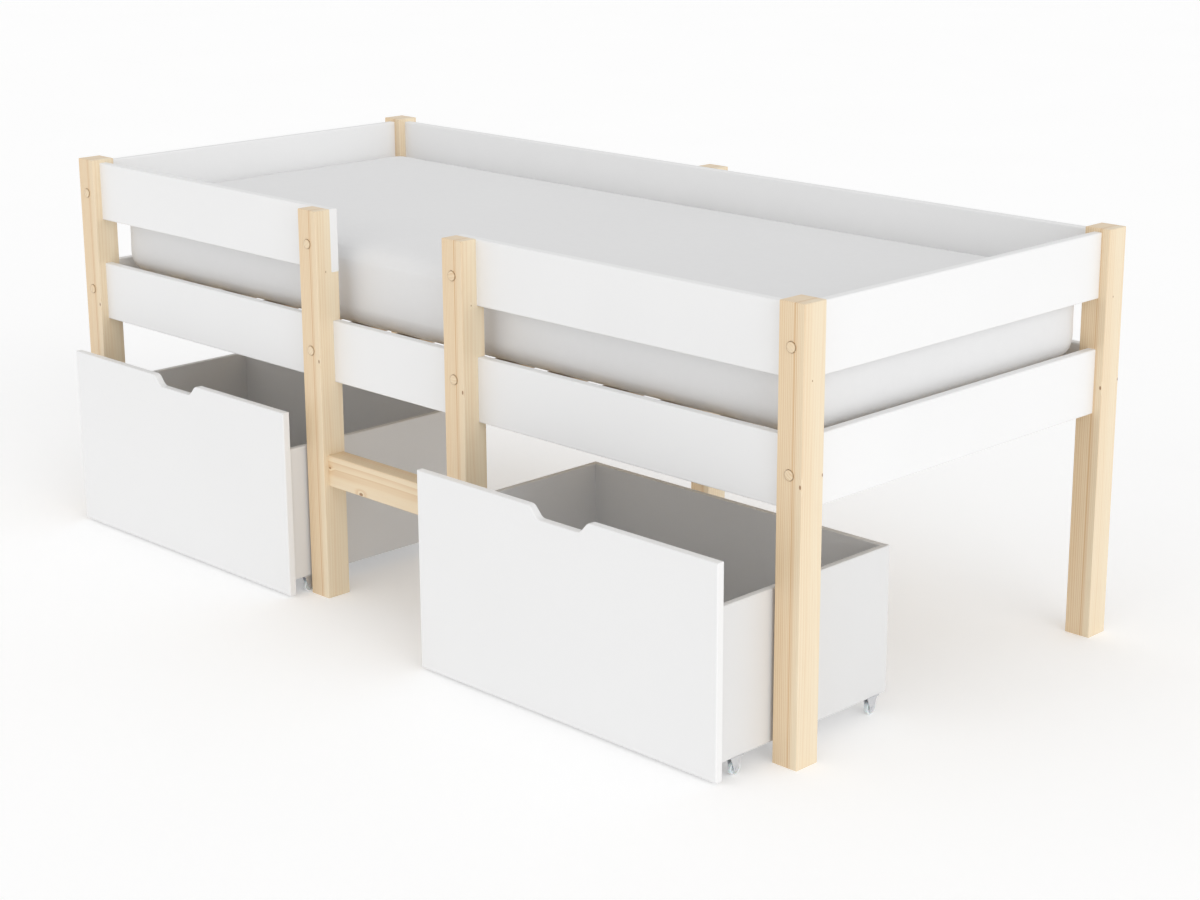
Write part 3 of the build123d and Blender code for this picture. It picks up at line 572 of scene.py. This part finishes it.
def swell(piece, frames, limit):
    """Blows a pad up as cloth, lets no point move further than limit, and keeps the result."""
    start = [vertex.co.copy() for vertex in piece.data.vertices]
    cloth = piece.modifiers.new("cloth", "CLOTH")
    cloth.settings.use_pressure = True
    cloth.settings.uniform_pressure_force = cloth_pressure
    cloth.settings.quality = 6
    cloth.settings.effector_weights.gravity = 0
    cloth.point_cache.frame_end = frames
    for number in range(1, frames + 1):
        bpy.context.scene.frame_set(number)
    evaluated = piece.evaluated_get(bpy.context.evaluated_depsgraph_get())
    moved = [vertex.co.copy() for vertex in evaluated.data.vertices]
    piece.modifiers.remove(cloth)
    bpy.context.scene.frame_set(1)
    for vertex, old, new in zip(piece.data.vertices, start, moved):
        step = new - old
        vertex.co = old + step * min(1, limit / max(step.length, 1e-9))


mattress = own_copy("mattress", "foam_mattress")
mattress_middle = (mattress_low + mattress_high) / 2
mattress_size = mattress_high - mattress_low
for vertex in mattress.data.vertices:
    for axis in range(3):
        share = 1 - 2 * mattress_shrink / mattress_size[axis]
        vertex.co[axis] = mattress_middle[axis] + (vertex.co[axis] - mattress_middle[axis]) * share
apply_modifier(mattress, "REMESH", mode="VOXEL", voxel_size=mattress_voxel)
swell(mattress, mattress_frames, mattress_swell)
for vertex in mattress.data.vertices:
    vertex.co.z = max(vertex.co.z, mattress_low.z)
apply_modifier(mattress, "SUBSURF", levels=1, render_levels=1)
mattress.data.shade_smooth()

cover, tree, shader, place = new_finish("mattress cover", 0.9, Sheen_Weight=0.15, Sheen_Roughness=0.6)
threads = 0.0
for direction in "XYZ":
    inputs = {"Vector": place, "Scale": thread_scale}
    wave = put(tree, "ShaderNodeTexWave", inputs, bands_direction=direction)
    threads = calc(tree, "ADD", wave.outputs["Fac"], threads)
threads = calc(tree, "DIVIDE", threads, 3)
slubs = noise(tree, place, (60, 60, 60), detail=3)
soft_drift = noise(tree, place, (2.2, 2.2, 2.2))
cloth_colour = blend_colours(tree, soft_drift, (0.76, 0.76, 0.765), (0.79, 0.79, 0.79))
cloth_colour = blend_colours(tree, calc(tree, "MULTIPLY", slubs, 0.12), cloth_colour, (0.6, 0.6, 0.6))
tree.links.new(cloth_colour, shader.inputs["Base Color"])
raise_surface(tree, shader, threads, 0.0002, 0.35)
mattress.data.materials.append(cover)
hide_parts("mattress")
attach(mattress, "bed_frame")

# Drawers: each has a lacquered front with a hand notch, and a box of thin white-faced boards
# dowelled together, whose white is painted darker than the fronts' all over, as painted shade of the
# drawer's inside.
front_white = lacquer("white drawer front", (0.85, 0.85, 0.85), (0.82, 0.82, 0.82), 0.36)
# The box's darker white is painted shade: the shade inside the drawer, put into the boards' colour.
box_white_with_painted_shade = lacquer("white drawer box with painted inner shade", (0.74, 0.74, 0.74), (0.70, 0.70, 0.70), 0.5)
for name in nodes:
    if name.startswith("drawer_") and name.endswith("_front"):
        dress(name, front_white)
    elif name.startswith("drawer_") and name.endswith(("_side_left", "_side_right", "_back", "_floor")):
        dress(name, box_white_with_painted_shade)

# Castors: a milky moulded wheel on a riveted pin in a pressed grey bracket, screwed under each
# corner of the box.
bracket_grey, tree, shader, place = new_finish("castor bracket", 0.35, Metallic=0.6)
worn = noise(tree, place, (250, 250, 250), detail=3)
paint(tree, shader, worn, (0.55, 0.56, 0.58), (0.70, 0.71, 0.73))
raise_surface(tree, shader, worn, 0.00005, 0.3)
wheel_milk, tree, shader, place = new_finish("milky wheel", 0.35, Subsurface_Weight=0.2)
cloudy = noise(tree, place, (160, 160, 160))
paint(tree, shader, cloudy, (0.78, 0.80, 0.80), (0.84, 0.85, 0.85))
raise_surface(tree, shader, cloudy, 0.00005, 0.3)
for name in nodes:
    if name.endswith("_castor_brackets"):
        dress(name, bracket_grey)

# Castor wheels: each is one moulding, with a rounded tread rim and a hub joined by a thin web and
# six ribs, and turns on its pin.
rib_count = 6
rib_thickness = 0.0010
rib_height_share = 0.72
rim_rounding = 0.0010
hub_rounding = 0.0004
web_rounding = 0.0002
web_bite = 0.0005
rib_middle_share = 0.64
wheel_names = [name for name in nodes if "_wheel_" in name]
low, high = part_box(wheel_names[0])
wheel_radius = (high.z - low.z) / 2
rib_middle = rib_middle_share * wheel_radius
rib_places = []
for number in range(rib_count):
    turn = 2 * pi * number / rib_count
    spot = Matrix.Rotation(turn, 3, "Z") @ Vector((rib_middle, 0, 0))
    rib_places.append((spot, (0, 0, turn), full_size))
wheel_sizes = {
    "Radius": wheel_radius,
    "Width": high.x - low.x,
    "Rim": 0.0026,
    "Hub": 0.005,
    "Bore": 0.0016,
    "Web": 0.0018,
}
tree, given = new_group("moulded wheel", wheel_sizes)


def ring(tree, inner, outer, height, radius):
    """A turned ring with rounded edges between two radii."""
    middle = calc(tree, "DIVIDE", calc(tree, "ADD", inner, outer), 2.0)
    path = put(tree, "GeometryNodeCurvePrimitiveCircle", {"Resolution": 64, "Radius": middle}).outputs[0]
    return rounded_bar(tree, path, calc(tree, "SUBTRACT", outer, inner), height, radius)


rim_inside = calc(tree, "SUBTRACT", given["Radius"], given["Rim"])
rim = ring(tree, rim_inside, given["Radius"], given["Width"], rim_rounding)
hub = ring(tree, given["Bore"], given["Hub"], given["Width"], hub_rounding)
web_inside = calc(tree, "SUBTRACT", given["Hub"], web_bite)
web_outside = calc(tree, "ADD", rim_inside, web_bite)
web = ring(tree, web_inside, web_outside, given["Web"], web_rounding)
rib_length = calc(tree, "ADD", calc(tree, "SUBTRACT", rim_inside, given["Hub"]), 2 * web_bite)
rib_height = calc(tree, "MULTIPLY", given["Width"], rib_height_share)
inputs = {"X": rib_length, "Y": rib_thickness, "Z": rib_height}
rib_size = put(tree, "ShaderNodeCombineXYZ", inputs).outputs[0]
rib = put(tree, "GeometryNodeMeshCube", {"Size": rib_size}).outputs["Mesh"]
ribs = set_on_places(tree, given["Geometry"], rib)
joined = tree.nodes.new("GeometryNodeJoinGeometry")
for part in (rim, hub, web, ribs):
    tree.links.new(part, joined.inputs[0])
start = places_mesh("rib places", rib_places)
wheel = bake_group(tree, given, joined.outputs[0], "moulded_wheel", start, wheel_sizes, wheel_milk)
wheel_mesh = wheel.data
bpy.data.objects.remove(wheel)
for name in wheel_names:
    low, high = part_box(name)
    mesh = wheel_mesh.copy()
    mesh.transform(Matrix.Translation((low + high) / 2) @ Matrix.Rotation(pi / 2, 4, "Y"))
    piece = add_object(f"moulded_{name}", mesh)
    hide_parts(name)
    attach(piece, name)
